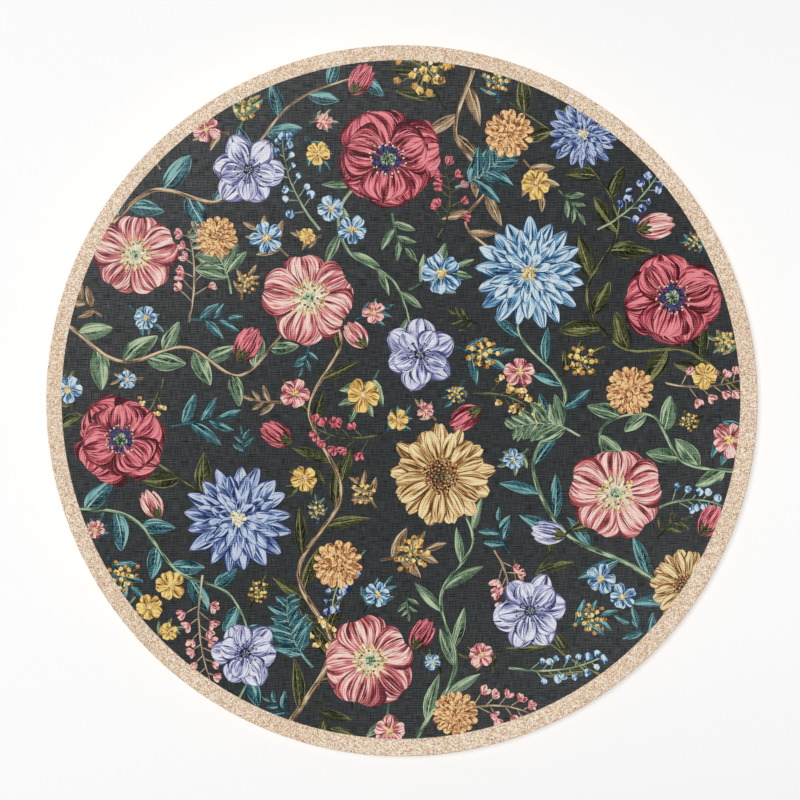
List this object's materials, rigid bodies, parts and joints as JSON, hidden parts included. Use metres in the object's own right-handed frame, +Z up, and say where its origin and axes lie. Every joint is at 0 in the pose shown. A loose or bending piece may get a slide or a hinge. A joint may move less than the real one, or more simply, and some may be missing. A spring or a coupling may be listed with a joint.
{
  "type": "cork bulletin board",
  "caption": "Round wall-hung cork bulletin board with a flower-printed cloth face, a bare cork margin and swinging D-ring hangers.",
  "frame": {"origin": "on the front of the cloth, on the axis of the round board", "axes": "+Z up as hung, -Y out of the front towards the viewer, +X to the viewer's right"},
  "size_m": [0.3999, 0.0156, 0.4],
  "materials": {
    "cork": "fine cork granules, matt",
    "cloth": null,
    "fibreboard": "smooth brown fibreboard",
    "strap_steel": "zinc plated",
    "ring_steel": "nickel plated",
    "screw_steel": "zinc plated",
    "bumper_rubber": "matt"
  },
  "bodies": {
    "board": {"cork_sheet": "cork", "printed_cloth": "cloth", "backing_board": "fibreboard", "hanger_strap_left": "strap_steel", "hanger_screw_left_upper": "screw_steel", "hanger_screw_left_lower": "screw_steel", "hanger_strap_right": "strap_steel", "hanger_screw_right_upper": "screw_steel", "hanger_screw_right_lower": "screw_steel", "bumper_upper_right": "bumper_rubber", "bumper_upper_left": "bumper_rubber", "bumper_lower_left": "bumper_rubber", "bumper_lower_right": "bumper_rubber"},
    "ring_left": {"hanger_ring_left": "ring_steel"},
    "ring_right": {"hanger_ring_right": "ring_steel"}
  },
  "joints": [
    {"name": "ring_left_swing", "type": "hinge", "parent": "board", "child": "ring_left", "pos_m": [-0.12, 0.0133, 0.09], "axis": [-1, 0, 0], "range_deg": [-2, 175]},
    {"name": "ring_right_swing", "type": "hinge", "parent": "board", "child": "ring_right", "pos_m": [0.12, 0.0133, 0.09], "axis": [-1, 0, 0], "range_deg": [-2, 175]}
  ]
}
